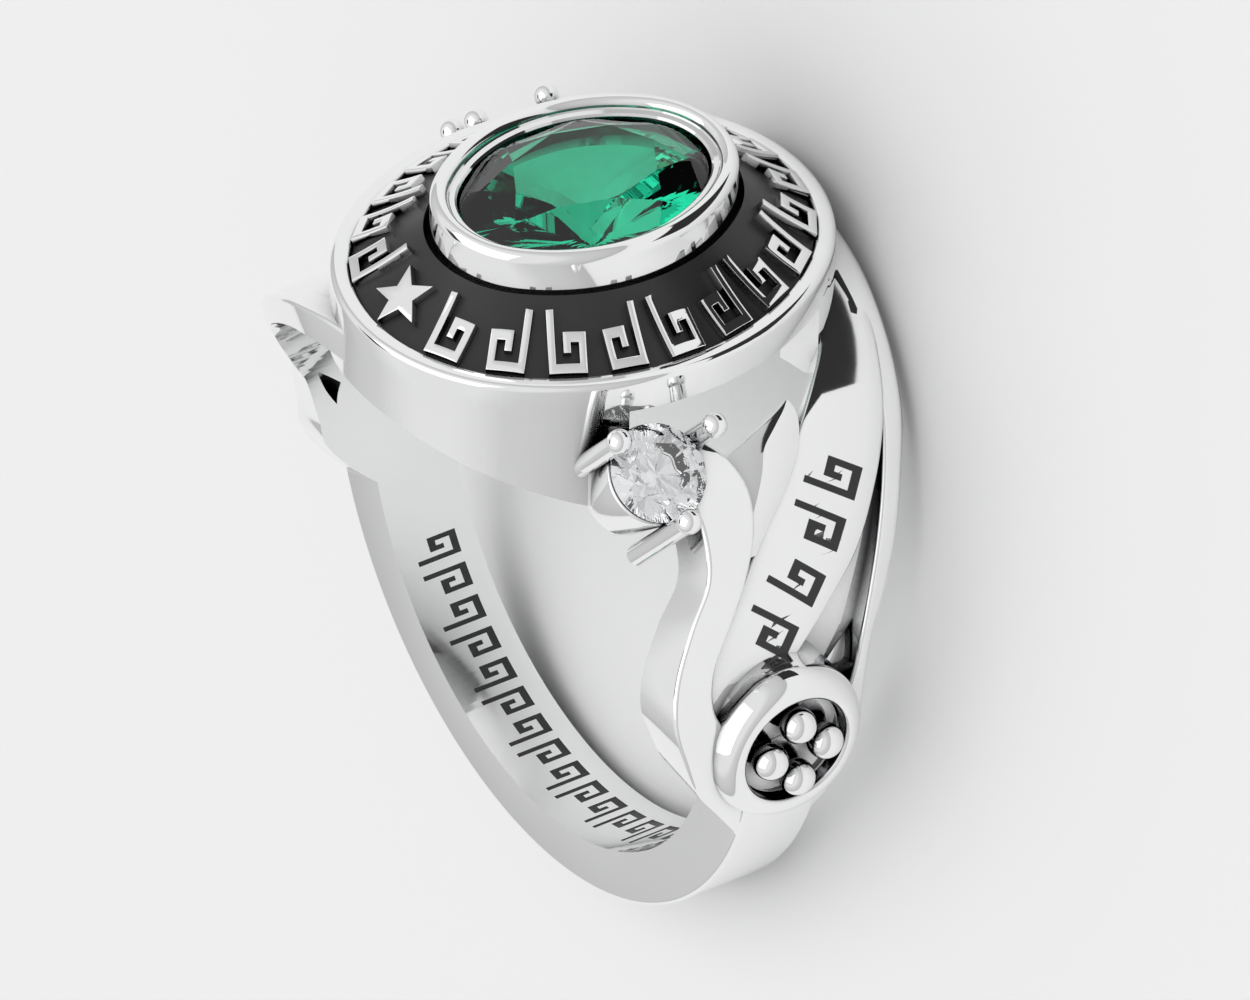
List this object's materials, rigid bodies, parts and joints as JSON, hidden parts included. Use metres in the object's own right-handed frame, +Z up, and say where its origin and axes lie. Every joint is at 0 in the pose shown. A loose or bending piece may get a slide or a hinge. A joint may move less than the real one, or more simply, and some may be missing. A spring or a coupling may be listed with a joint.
{
  "type": "class ring",
  "caption": "Silver class ring with an oval green stone in a bezel, a black enamel slope with raised ornament, split shoulders and small prong-set stones.",
  "frame": {"origin": "on the floor, under the middle of the ring's length and width as it lies on its back side", "axes": "+Z up, -Y the way the head and centre stone face, X across the shoulders"},
  "size_m": [0.0232, 0.0236, 0.0143],
  "materials": {
    "silver": "polished silver",
    "black_enamel": "satin black enamel",
    "green_stone": "faceted emerald green",
    "clear_stone": "faceted clear"
  },
  "bodies": {
    "root": {"ring_body": "silver", "enamel_band": "black_enamel", "centre_stone": "green_stone", "accent_stone_front": "clear_stone", "accent_stone_back": "clear_stone"}
  },
  "joints": []
}
